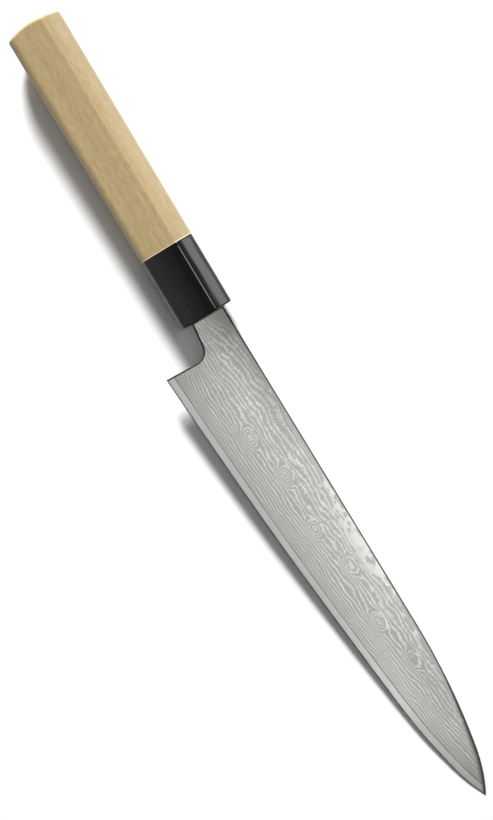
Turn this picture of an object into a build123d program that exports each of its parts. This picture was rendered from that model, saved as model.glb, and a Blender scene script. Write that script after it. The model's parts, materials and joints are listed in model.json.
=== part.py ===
"""A double-bevel slicing knife: a three-layer blade in a wooden handle with a black ferrule.

The knife is drawn with its handle axis along +X towards the tip, its spine towards +Y and its
right face towards +Z, starting from the front face of the ferrule. Then the whole knife is laid
on its left side, as it rests on a board: on the front of the ferrule and on the tip.
"""
from build123d import *
from math import atan2, degrees
import os

os.makedirs("parts", exist_ok=True)

# Driving dimensions, in millimetres

# Blade outline
neck_reach = 13.8           # from the ferrule's front to the heel, along the handle axis
blade_run = 208.6           # from the heel to the tip, along the handle axis
heel_depth = 27.1           # the heel below the handle axis
tip_depth = 3.2             # the tip below the handle axis
tip_flat = 0.2              # height of the blunt end of the tip
spine_height_at_neck = 7.5  # the spine above the handle axis, at the ferrule
spine_height_at_peak = 8.45  # its highest point
neck_depth = 6.9            # the neck's lower side below the handle axis, at the ferrule
choil_depth = 8.0           # the same where the curve of the choil starts
choil_start = 9.8           # from the ferrule's front to that curve
choil_drop = 5.6            # height of that curve
heel_lean = 0.5             # the heel line leans back by this much

# Blade section
spine_thickness = 2.0
core_thickness = 0.55
bevel_width = 0.45          # the final sharpened bevel
bevel_thickness = 0.3       # the blade across the top of that bevel

# Tang
tang_length = 92.0          # behind the ferrule's front
tang_height = 9.2           # just behind its shoulders
tang_end_height = 5.6
shoulder_start = 2.4        # from the ferrule's front back to the shoulders
shoulder_length = 2.6

# Handle
grip_length = 104.5         # to the middle of the domed butt
ferrule_length = 31.1
handle_height = 23.7        # edge side to spine side, at the butt
handle_taper = 0.8          # the handle is this much less high at the ferrule's front
handle_thickness = 17.7     # from the left side to the ridge
ridge_offset = 4.5          # the ridge above the handle axis
side_drop = 4.0             # from the ridge down to the corner on the edge side
back_drop = 4.6             # from the ridge down to the corner on the spine side
left_radius = 6.8           # the two rounded corners of the left side
side_radius = 4.2           # the corner on the edge side
back_radius = 3.4           # the corner on the spine side
ridge_radius = 0.9
planed_depth = 0.02         # planed off the left side, which leaves it truly flat
butt_dome_radius = 32.0     # the butt swells like a ball of this radius
butt_dome_offset = 0.8      # the middle of the dome above the handle axis
butt_rounding = 0.9
ferrule_rounding = 0.7
seam_chamfer = 0.15

# Joint of grip, ferrule and tang
tenon_height = 15.6
tenon_thickness = 11.0
tenon_length = 24.5
tenon_clearance = 0.1       # glue gap round the tenon and in front of it
bore_height = 10.6
bore_width = 4.2
bore_end_gap = 4.0          # behind the end of the tang
slot_gap_height = 0.7       # between the neck and each end of the ferrule's slot
slot_width = 3.4
seal_proud = 0.2            # the seal stands this far out of the slot

cut_overrun = 1.0           # cuts run past the surface by this much

# Stations of the grind: share of the way from the heel to the tip, share of the rise of the
# edge from the heel's level to the tip's, and share of the spine's thickness at the top
GRIND_STATION_SHARES = (
    (0.00, 0.000, 1.00),
    (0.13, 0.063, 0.98),
    (0.32, 0.172, 0.94),
    (0.51, 0.312, 0.88),
    (0.70, 0.473, 0.78),
    (0.82, 0.592, 0.68),
    (0.91, 0.742, 0.60),
    (0.96, 0.858, 0.55),
    (1.00, 1.000, 0.50),
    (1.03, 1.130, 0.47),
)

# The spine is straight up to its highest point, then drops in two arcs to the tip: shares of the
# way from the heel to the tip, and of the drop from the highest point to the tip
SPINE_PEAK_SHARE = 0.65
SPINE_TURN_SHARES = (0.911, 0.425)

SETTLING_STEPS = 4          # rounds of tipping the knife down until it rests level

# Places worked out from the sizes above
tip_x = neck_reach + blade_run
top_y = spine_height_at_peak + cut_overrun
wall_x = tenon_length - ferrule_length
bore_bottom_x = -tang_length - bore_end_gap
slot_height = spine_height_at_neck + neck_depth + 2 * slot_gap_height
slot_y = (spine_height_at_neck - neck_depth) / 2
left_z = -handle_thickness / 2
ridge_z = handle_thickness / 2


def closed_face(*curves):
    """A flat face inside a closed chain of curves."""
    return make_face(Curve() + list(curves))


def grind_section(x, edge_y, top_thickness):
    """One section of the steel: sharpened bevels, then convex faces up to the spine."""
    shoulder_y = edge_y + bevel_width
    right = TangentArc((top_y, top_thickness / 2), (shoulder_y, bevel_thickness / 2), tangent=(-1, 0))
    left = TangentArc((top_y, -top_thickness / 2), (shoulder_y, -bevel_thickness / 2), tangent=(-1, 0))
    face = closed_face(
        right,
        Line(right @ 1, (edge_y, 0)),
        Line((edge_y, 0), left @ 1),
        left,
        Line(left @ 0, right @ 0),
    )
    return Plane.YZ.offset(x) * face


def ground_steel():
    """The whole wedge of steel, before its outline is cut: lofted blade and straight tang."""
    sections = [
        grind_section(
            neck_reach + run * blade_run,
            rise * (heel_depth - tip_depth) - heel_depth,
            thickness * spine_thickness,
        )
        for run, rise, thickness in GRIND_STATION_SHARES
    ]
    tang_part = extrude(sections[0], tang_length + neck_reach + cut_overrun, dir=(-1, 0, 0))
    return loft(sections) + tang_part


def blade_outline():
    """The outline of blade, neck and tang. It runs past the edge, which the grind sets."""
    neck_top = (0, spine_height_at_neck)
    tip = (tip_x, tip_flat - tip_depth)
    peak = (neck_reach + SPINE_PEAK_SHARE * blade_run, spine_height_at_peak)
    turn_run, turn_drop = SPINE_TURN_SHARES
    turn = (neck_reach + turn_run * blade_run, peak[1] - turn_drop * (peak[1] - tip[1]))
    below = -heel_depth - cut_overrun
    spine = Line(neck_top, peak)
    drop = TangentArc(peak, turn, tangent=spine % 1)
    nose = TangentArc(turn, tip, tangent=drop % 1)

    tang_end = -tang_length + tang_end_height / 2
    shoulder_end = -shoulder_start - shoulder_length
    choil_bottom = (neck_reach + heel_lean, -choil_depth - choil_drop)
    neck_line = Line((0, -neck_depth), (choil_start, -choil_depth))
    choil = TangentArc(neck_line @ 1, choil_bottom, tangent=neck_line % 1)
    tang_lower = (tang_end, -tang_end_height / 2)
    tang_upper = (tang_end, tang_end_height / 2)
    return closed_face(
        spine,
        drop,
        nose,
        Polyline(tip, (tip_x, below), (neck_reach, below), (neck_reach, -heel_depth), choil_bottom),
        choil,
        neck_line,
        Polyline(
            (0, -neck_depth),
            (-shoulder_start, -neck_depth),
            (shoulder_end, -tang_height / 2),
            tang_lower,
        ),
        ThreePointArc(tang_lower, (-tang_length, 0), tang_upper),
        Polyline(
            tang_upper,
            (shoulder_end, tang_height / 2),
            (-shoulder_start, spine_height_at_neck),
            neck_top,
        ),
    )


def steel_layers():
    """The three layers of the blade, right to left: cladding, core and cladding."""
    height = spine_thickness + cut_overrun
    blade = ground_steel() & extrude(blade_outline(), height, both=True)
    upper = Plane.XY.offset(core_thickness / 2)
    lower = Plane.XY.offset(-core_thickness / 2)
    right = split(blade, upper, keep=Keep.TOP)
    left = split(blade, lower, keep=Keep.BOTTOM)
    core = split(split(blade, upper, keep=Keep.BOTTOM), lower, keep=Keep.TOP)
    return blade, core, right, left


def handle_section(x):
    """The chestnut-shaped section of the handle, flatter on its left side."""
    share = 1 + x / (grip_length + ferrule_length)
    half = (handle_height - share * handle_taper) / 2
    rough_z = left_z - planed_depth
    outline = FilletPolyline(
        (-half, rough_z),
        (half, rough_z),
        (half, ridge_z - back_drop),
        (ridge_offset, ridge_z),
        (-half, ridge_z - side_drop),
        radius=[left_radius, left_radius, back_radius, ridge_radius, side_radius],
        close=True,
    )
    return Plane.YZ.offset(x) * make_face(outline)


def handle_length(back_x, front_x):
    """A straight, slightly tapered length of the handle."""
    return loft([handle_section(back_x), handle_section(front_x)], ruled=True)


def planed(body):
    """The same length once its left side is planed flat."""
    return split(body, Plane.XY.offset(left_z), keep=Keep.TOP)


def domed(body, back_x):
    """The same length with its back end worked to a shallow dome."""
    centre = Pos(back_x + butt_dome_radius, butt_dome_offset)
    barrel = centre * extrude(Plane.YZ * Circle(butt_dome_radius), grip_length)
    return body & (barrel + centre * Sphere(butt_dome_radius))


def dome_edges(body):
    """The edges round the domed end."""
    return body.faces().filter_by(GeomType.SPHERE).edges()


def end_edges(shape, x):
    """The edges of the flat end of a shape at this place along the handle."""
    return shape.faces().filter_by(Plane.YZ).sort_by(lambda face: abs(face.center().X - x))[0].edges()


def along_handle(face, back_x, front_x):
    """A face drawn across the handle, drawn out from one place along it to another."""
    return extrude(Plane.YZ.offset(back_x) * face, front_x - back_x)


def make_ferrule():
    """The black collar: a blind socket behind for the tenon and a slot in front for the neck."""
    body = handle_length(-ferrule_length, 0)
    body = fillet(end_edges(body, 0), ferrule_rounding)
    body = planed(chamfer(end_edges(body, -ferrule_length), seam_chamfer))
    socket = SlotOverall(tenon_height + 2 * tenon_clearance, tenon_thickness + 2 * tenon_clearance)
    body -= along_handle(socket, -ferrule_length - cut_overrun, wall_x + tenon_clearance)
    body -= along_handle(neck_slot(), wall_x, cut_overrun)
    return body


def neck_slot():
    """The slot through the ferrule's front wall."""
    return Pos(slot_y, 0) * SlotOverall(slot_height, slot_width)


def tang_bore():
    """The bore through the tenon and into the grip."""
    return SlotOverall(bore_height, bore_width)


def make_grip():
    """The wooden grip with its tenon, bored for the tang."""
    butt_x = -ferrule_length - grip_length
    body = domed(handle_length(butt_x, -ferrule_length), butt_x)
    body = fillet(dome_edges(body), butt_rounding)
    body = planed(chamfer(end_edges(body, -ferrule_length), seam_chamfer))
    body += along_handle(SlotOverall(tenon_height, tenon_thickness), -ferrule_length, wall_x)
    return body - along_handle(tang_bore(), bore_bottom_x, wall_x + cut_overrun)


def make_bedding(blade):
    """The resin that fills the bore of the grip round the tang."""
    return along_handle(tang_bore(), bore_bottom_x, wall_x) - blade


def make_seal(blade):
    """The resin that closes the ferrule's slot round the neck."""
    return along_handle(neck_slot(), wall_x + tenon_clearance, seal_proud) - blade


def lowest(shape, pitch):
    """The lowest level of a shape once the knife tips forward by this pitch."""
    return (Rot(0, pitch, 0) * shape).bounding_box().min.Z


def resting_pitch(blade, ferrule):
    """How far the knife tips forward, in degrees, until ferrule and blade stand at one level."""
    pitch = 0
    for _ in range(SETTLING_STEPS):
        drop = lowest(blade, pitch) - lowest(ferrule, pitch)
        pitch += degrees(atan2(drop, tip_x))
    return pitch


blade, core, right, left = steel_layers()
drawn = {
    "blade_core": core,
    "right_cladding": right,
    "left_cladding": left,
    "ferrule": make_ferrule(),
    "handle_grip": make_grip(),
    "tang_bedding": make_bedding(blade),
    "mouth_seal": make_seal(blade),
}

# Lay the knife down and set its origin in the middle of its footprint
tipped = Rot(0, resting_pitch(blade, drawn["ferrule"]), 0)
box = Compound([tipped * solid for shape in drawn.values() for solid in shape.solids()]).bounding_box()
placing = Pos(-box.center().X, -box.center().Y, -box.min.Z) * tipped

for name, shape in drawn.items():
    export_step(placing * shape, f"parts/{name}.step")
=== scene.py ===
"""A slicing knife laid on a pale floor, dressed for its picture.

The packed solids give every place. This file gives the looks: a blade of layered steel ground
down to a plain core, a polished black ferrule, a bare wooden grip, and the studio round them.
Lengths are in metres, and the knife's own parts are drawn from the middle of the ferrule's
front face: the tip towards +X, the spine towards +Y and the right face towards +Z.
"""
import json
import bmesh
import bpy
from math import acos, atan2, ceil, cos, pi, radians, sin, sqrt, tanh
from mathutils import Matrix, Vector


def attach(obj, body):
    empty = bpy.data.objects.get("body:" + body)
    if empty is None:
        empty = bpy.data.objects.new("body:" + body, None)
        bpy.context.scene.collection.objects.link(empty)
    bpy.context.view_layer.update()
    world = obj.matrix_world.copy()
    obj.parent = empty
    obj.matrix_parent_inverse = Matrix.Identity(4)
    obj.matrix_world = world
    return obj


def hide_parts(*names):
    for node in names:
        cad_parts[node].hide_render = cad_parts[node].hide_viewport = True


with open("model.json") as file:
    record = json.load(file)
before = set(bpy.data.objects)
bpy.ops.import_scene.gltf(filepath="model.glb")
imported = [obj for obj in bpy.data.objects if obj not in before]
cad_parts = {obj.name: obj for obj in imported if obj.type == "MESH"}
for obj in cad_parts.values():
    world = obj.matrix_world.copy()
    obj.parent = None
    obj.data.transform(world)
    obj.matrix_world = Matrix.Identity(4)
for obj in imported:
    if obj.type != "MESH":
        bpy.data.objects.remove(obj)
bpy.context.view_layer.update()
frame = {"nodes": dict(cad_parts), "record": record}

bl_info = {
    "name": "Slicing Knife",
    "version": (1, 0, 0),
    "blender": (4, 5, 0),
    "location": "View3D > Sidebar > Knife",
    "description": "Dresses a slicing knife in layered steel, black resin and pale wood",
    "category": "Object",
}

MM = 0.001
BODY = "root"

# Points nearer to each other than this are one point, and shorter edges than this are taken out
MERGE_DISTANCE = 0.0005 * MM
SHORTEST_EDGE = 0.0002 * MM

# Edges that turn by more than these stay sharp
BLADE_CREASE = radians(14)
HANDLE_CREASE = radians(30)

# Roundings are drawn in eight steps to a quarter turn, the corners of a section more closely
QUARTER_TURN = [i * pi / 16 for i in range(9)]
CORNER_STEP = radians(6)
CORNER_SIGNS = ((-1, -1), (1, -1), (1, 1), (-1, 1))

# Rounding of the tools that hollow out the handle
TOOL_ROUNDING = 0.05 * MM

# The lean of the heel line fades out over this length
LEAN_REACH = 12 * MM

# Stations of the grind: share of the way from the heel to the tip, share of the rise of the edge
# from the heel's level to the tip's, and share of the spine's thickness
GRIND_STATION_SHARES = (
    (0.00, 0.000, 1.00),
    (0.13, 0.063, 0.98),
    (0.32, 0.172, 0.94),
    (0.51, 0.312, 0.88),
    (0.70, 0.473, 0.78),
    (0.82, 0.592, 0.68),
    (0.91, 0.742, 0.60),
    (0.96, 0.858, 0.55),
    (1.00, 1.000, 0.50),
)
SPINE_PEAK_SHARE = 0.65
SPINE_TURN_SHARES = (0.911, 0.425)

# Eyes of the layer pattern: place along the knife and above its axis, in millimetres, and the
# number of lines that ring the eye. Then half the length and height of an eye, and the seeds
RIGHT_EYES = (
    (50.5, -10.3, 3),
    (70.8, -5.6, 3),
    (95.1, -7.0, 3),
    (115.2, -1.8, 2),
    (140.1, -4.0, 3),
    (160.4, 0.3, 2),
)
LEFT_EYES = (
    (42.0, -6.5, 3),
    (63.5, -11.0, 3),
    (84.2, -3.6, 2),
    (106.5, -8.4, 3),
    (128.0, -2.6, 3),
    (151.5, -5.2, 2),
)
EYE_HALF_LENGTH, EYE_HALF_HEIGHT = 3.9, 2.4
RIGHT_SEED, LEFT_SEED = 0.0, 37.0


def length(name, description, millimetres):
    """A size that the user may change."""
    return bpy.props.FloatProperty(
        name=name, description=description, default=millimetres * MM, unit="LENGTH", precision=5
    )


def number(name, description, default):
    """A plain number that the user may change."""
    return bpy.props.FloatProperty(name=name, description=description, default=default, precision=4)


def angle(name, description, degrees):
    """An angle that the user may change."""
    return bpy.props.FloatProperty(
        name=name, description=description, default=radians(degrees), subtype="ANGLE"
    )


def colour(name, description, default):
    """A colour that the user may change."""
    return bpy.props.FloatVectorProperty(
        name=name, description=description, default=default, size=3, subtype="COLOR", min=0, max=1
    )


class BladeSizes(bpy.types.PropertyGroup):
    """Outline and section of the blade and its tang."""

    neck_reach: length("Neck reach", "From the ferrule's front to the heel", 13.8)
    blade_run: length("Blade run", "From the heel to the tip", 208.6)
    heel_depth: length("Heel depth", "The heel below the handle axis", 27.1)
    tip_depth: length("Tip depth", "The tip below the handle axis", 3.2)
    tip_flat: length("Tip flat", "Height of the blunt end of the tip", 0.2)
    spine_at_neck: length("Spine at neck", "The spine above the axis at the ferrule", 7.5)
    spine_at_peak: length("Spine at peak", "Its highest point above the axis", 8.45)
    neck_depth: length("Neck depth", "The neck's lower side below the axis", 6.9)
    choil_depth: length("Choil depth", "The same where the choil starts", 8.0)
    choil_start: length("Choil start", "From the ferrule's front to the choil", 9.8)
    choil_drop: length("Choil drop", "Height of the choil's curve", 5.6)
    heel_lean: length("Heel lean", "How far the heel line leans back", 0.5)
    spine_thickness: length("Spine thickness", "The steel across the spine at the heel", 2.0)
    core_thickness: length("Core thickness", "The middle layer", 0.55)
    bevel_width: length("Bevel width", "The final sharpened bevel", 0.45)
    bevel_thickness: length("Bevel thickness", "The blade across the top of that bevel", 0.3)
    grind_overrun: length("Grind overrun", "The grind is set this far above the spine", 1.0)
    eased_rim: length("Eased rim", "Radius that is rubbed onto spine and choil", 0.16)
    tang_length: length("Tang length", "Behind the ferrule's front", 92.0)
    tang_height: length("Tang height", "Just behind its shoulders", 9.2)
    tang_end_height: length("Tang end height", "At its rounded end", 5.6)
    shoulder_start: length("Shoulder start", "From the ferrule's front back to them", 2.4)
    shoulder_length: length("Shoulder length", "Along the tang", 2.6)


class HandleSizes(bpy.types.PropertyGroup):
    """The grip, the ferrule and the joint between them."""

    grip_length: length("Grip length", "The wooden part, to the middle of its butt", 104.5)
    ferrule_length: length("Ferrule length", "The black collar", 31.1)
    height: length("Height", "From the edge side to the spine side at the butt", 23.7)
    taper: length("Taper", "The handle is this much less high at its front", 0.8)
    thickness: length("Thickness", "From the left side to the ridge", 17.7)
    ridge_offset: length("Ridge offset", "The ridge above the handle axis", 4.5)
    side_drop: length("Side drop", "From the ridge down to the corner on the edge side", 4.0)
    back_drop: length("Back drop", "From the ridge down to the corner on the spine side", 4.6)
    left_radius: length("Left radius", "The two corners of the left side", 6.8)
    side_radius: length("Side radius", "The corner on the edge side", 4.2)
    back_radius: length("Back radius", "The corner on the spine side", 3.4)
    ridge_radius: length("Ridge radius", "The ridge, as rubbed and polished", 1.2)
    facet_crown: length("Facet crown", "Swell of the facet on the spine side of the ridge", 0.16)
    dome_radius: length("Dome radius", "The butt swells like a ball of this radius", 32.0)
    dome_offset: length("Dome offset", "The middle of the dome above the handle axis", 0.8)
    butt_rounding: length("Butt rounding", "Round the grip's end", 0.9)
    front_rounding: length("Front rounding", "Round the ferrule's front", 0.7)
    seam_rounding: length("Seam rounding", "On both sides of the seam", 0.15)
    tenon_height: length("Tenon height", "The grip's tenon", 15.6)
    tenon_thickness: length("Tenon thickness", "Across it", 11.0)
    tenon_length: length("Tenon length", "Into the ferrule", 24.5)
    tenon_clearance: length("Tenon clearance", "Glue gap round the tenon", 0.1)
    bore_height: length("Bore height", "The bore for the tang", 10.6)
    bore_width: length("Bore width", "Across it", 4.2)
    bore_end_gap: length("Bore end gap", "Behind the end of the tang", 4.0)
    slot_gap: length("Slot gap", "Between the neck and each end of the slot", 0.7)
    slot_width: length("Slot width", "The slot in the ferrule's front", 3.4)


class SteelLook(bpy.types.PropertyGroup):
    """Colours and layer pattern of the blade."""

    dark: colour("Dark layers", "Layers that etch dark", (0.52, 0.522, 0.495))
    light: colour("Light layers", "Layers that stay bright", (0.83, 0.832, 0.79))
    core: colour("Core", "The plain steel along the edge", (0.7, 0.701, 0.685))
    # Painted dark reflection along the rims of spine, neck and heel
    rim: colour("Painted rim", "The dark rims of spine, neck and heel", (0.02, 0.021, 0.02))
    seam: colour("Seam", "The line where the core comes out", (0.22, 0.222, 0.215))
    root: colour("Root", "The film of resin at the root of the blade", (0.2, 0.16, 0.08))
    edge_rate: number("Edge rate", "Lines to the millimetre at the edge", 1.12)
    spine_rate: number("Spine rate", "Lines to the millimetre at the spine", 0.45)
    rate_reach: number("Rate reach", "Millimetres from the edge where the rate changes most", 10.5)
    long_waves: number("Long waves", "Lines that the slow waves move the pattern by", 1.9)
    short_waves: number("Short waves", "The same for the quick waves", 0.6)
    rags: number("Rags", "The same for the ragged rims of the lines", 0.45)


class WoodLook(bpy.types.PropertyGroup):
    """Colours of the grip."""

    pale: colour("Pale wood", "Most of the wood", (0.435, 0.327, 0.17))
    dark: colour("Dark fibres", "Vessels and darker bands", (0.31, 0.222, 0.108))
    # Painted sheen: the greyer colour of the facet on the spine side
    painted_facet_sheen: colour("Painted facet sheen", "The facet on the spine side", (0.44, 0.355, 0.225))
    # Painted highlight on the end of the grip at the seam
    end: colour("End", "The sanded end at the ferrule", (0.8, 0.74, 0.58))


class ResinLook(bpy.types.PropertyGroup):
    """Colours of the ferrule and of the cast resin."""

    black: colour("Black", "The ferrule", (0.0098, 0.0098, 0.0098))
    seal: colour("Seal", "Resin round the neck of the blade", (0.1, 0.085, 0.05))
    bedding: colour("Bedding", "Resin round the tang", (0.55, 0.5, 0.38))


class StudioSettings(bpy.types.PropertyGroup):
    """Camera and lights."""

    camera_height: length("Camera height", "Above the knife", 1037)
    lens: number("Lens", "Focal length in millimetres", 114.2)
    heading: angle("Heading", "The picture's right, turned from +X", 59)
    key_power: number("Key power", "The large light behind the butt, in watts", 172.0)
    side_power: number("Side power", "The light beyond the spine, in watts", 1.45)
    blade_power: number("Blade power", "The light over the blade, in watts", 0.78)
    ridge_power: number("Ridge power", "The strip over the handle, in watts", 1.6)
    sky: number("Sky", "Strength of the light from above", 0.05)
    walls: number("Walls", "Strength of the light from all round, low down", 0.24)


class Term:
    """A number in a node tree, which takes plain arithmetic."""

    def __init__(self, graph, socket):
        self.graph = graph
        self.socket = socket

    def __add__(self, other):
        return self.graph.math("ADD", self, other)

    def __sub__(self, other):
        return self.graph.math("SUBTRACT", self, other)

    def __rsub__(self, other):
        return self.graph.math("SUBTRACT", other, self)

    def __mul__(self, other):
        return self.graph.math("MULTIPLY", self, other)

    def __truediv__(self, other):
        return self.graph.math("DIVIDE", self, other)

    __radd__ = __add__
    __rmul__ = __mul__


class Graph:
    """The nodes of one tree, added from left to right."""

    def __init__(self, tree):
        self.tree = tree

    def node(self, kind, **settings):
        """A new node, set to the right of the last one."""
        made = self.tree.nodes.new(kind)
        made.location = (200 * (len(self.tree.nodes) % 24), -220 * (len(self.tree.nodes) // 24))
        for name, value in settings.items():
            setattr(made, name, value)
        return made

    def feed(self, socket, value):
        """Links a socket to another one, or gives it a constant."""
        value = value.socket if isinstance(value, Term) else value
        if isinstance(value, bpy.types.NodeSocket):
            self.tree.links.new(value, socket)
        else:
            socket.default_value = value

    def set(self, node, **values):
        """Feeds a node's sockets by their names."""
        for name, value in values.items():
            self.feed(node.inputs[name.replace("_", " ")], value)
        return node

    def math(self, operation, *values):
        """The result of one operation on numbers."""
        made = self.node("ShaderNodeMath", operation=operation)
        for socket, value in zip(made.inputs, values):
            self.feed(socket, value)
        return Term(self, made.outputs[0])

    def vector(self, x, y, z):
        """A vector made of its parts."""
        made = self.node("ShaderNodeCombineXYZ")
        return self.set(made, X=x, Y=y, Z=z).outputs[0]

    def parts(self, vector):
        """The three parts of a vector."""
        made = self.node("ShaderNodeSeparateXYZ")
        self.feed(made.inputs[0], vector)
        return [Term(self, socket) for socket in made.outputs]

    def ramp(self, value, start, end, low=0.0, high=1.0):
        """A smooth step from low to high while the value goes from start to end."""
        made = self.node("ShaderNodeMapRange", interpolation_type="SMOOTHSTEP")
        for socket, part in zip(made.inputs, (value, start, end, low, high)):
            self.feed(socket, part)
        return Term(self, made.outputs[0])

    def bell(self, value, middle, width):
        """One at the middle, falling off smoothly to both sides."""
        away = (value - middle) / width
        return self.math("EXPONENT", 0 - away * away)


class Shading(Graph):
    """The nodes of one material, round a Principled shader."""

    def __init__(self, name, **constants):
        self.material = bpy.data.materials.new(name)
        self.material.use_nodes = True
        super().__init__(self.material.node_tree)
        self.tree.nodes.clear()
        self.shader = self.set(self.node("ShaderNodeBsdfPrincipled"), **constants)
        output = self.node("ShaderNodeOutputMaterial")
        self.tree.links.new(self.shader.outputs[0], output.inputs[0])

    def noise(self, place, detail, roughness=0.5, scale=1.0):
        """Smooth noise from nought to one, at a place given by its three parts."""
        made = self.node("ShaderNodeTexNoise")
        self.set(made, Vector=self.vector(*place), Scale=scale, Detail=detail, Roughness=roughness)
        return Term(self, made.outputs[0])

    def blend(self, share, first, second):
        """The first shades where the share is nought, the second where it is one."""
        made = self.node("ShaderNodeMix", data_type="RGBA")
        self.feed(made.inputs[0], share)
        for socket, shade in zip(made.inputs[6:8], (first, second)):
            linked = isinstance(shade, bpy.types.NodeSocket)
            self.feed(socket, shade if linked else (*shade, 1))
        return made.outputs[2]

    def scaled(self, shades, share):
        """The shades, brighter or darker by a share."""
        made = self.node("ShaderNodeVectorMath", operation="SCALE")
        self.feed(made.inputs[0], shades)
        self.feed(made.inputs["Scale"], share)
        return made.outputs[0]

    def relief(self, height, distance, strength=1.0):
        """Shades the surface as if it rose by the distance where the height is one."""
        made = self.node("ShaderNodeBump")
        self.set(made, Strength=strength, Distance=distance, Height=height)
        self.set(self.shader, Normal=made.outputs[0])

    def stored(self, name):
        """A number that the mesh carries under this name."""
        made = self.node("ShaderNodeAttribute", attribute_name=name)
        return Term(self, made.outputs["Fac"])

    def flat_place(self):
        """The place on the flat sheet that the blade is ground from, in millimetres."""
        made = self.node("ShaderNodeAttribute", attribute_name="flat place")
        return [part / MM for part in self.parts(made.outputs["Vector"])]

    def finish_painted_rim(self, x, shades, rim, roughness):
        """Steel colour and gloss; rims of spine, neck and heel are rougher, with a painted dark
        reflection.
        """
        rim_roughness = 0.75
        start = self.ramp(x, 12, 40, 0.6, 0.42)
        end = self.ramp(x, 165, 205, start + 0.2, start + 2.3)
        inside = self.ramp(self.stored("rim") / MM, start, end)
        roughness = rim_roughness + inside * (roughness - rim_roughness)
        # Painted dark reflection: the rim colour takes the place of the steel's colour at the rims
        shades = self.blend(inside, rim, shades)
        self.set(self.shader, Base_Color=shades, Metallic=inside, Roughness=roughness)

    def knife_place(self):
        """The place on the knife in its own directions, in millimetres."""
        turned = self.node("ShaderNodeMapping", vector_type="TEXTURE")
        coordinates = self.node("ShaderNodeTexCoord")
        self.set(
            turned,
            Vector=coordinates.outputs["Object"],
            Location=knife_placement().to_translation(),
            Rotation=knife_placement().to_euler(),
            Scale=(MM, MM, MM),
        )
        return self.parts(turned.outputs[0])


def mount(name):
    """One of the mounts in the packed record."""
    return next(entry for entry in frame["record"]["mounts"] if entry["name"] == name)


def knife_placement():
    """Turns and moves what is drawn from the ferrule's front into the frame."""
    handle = bpy.context.scene.knife_handle
    flat = mount("left_flat")
    across, up = Vector((0, 1, 0)), -Vector(flat["axis"])
    along = across.cross(up)
    turn = Matrix((along, across, up)).transposed()
    reach = (handle.grip_length + handle.ferrule_length) / 2
    origin = Vector(flat["pos_m"]) + reach * along + handle.thickness / 2 * up
    return Matrix.Translation(origin) @ turn.to_4x4()


def painted_sheen_stretch(shading, x):
    """The stretch before the tip where a painted sheen makes the edge's side of the blade
    brightest.
    """
    return shading.bell(x, 168, 24)


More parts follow.
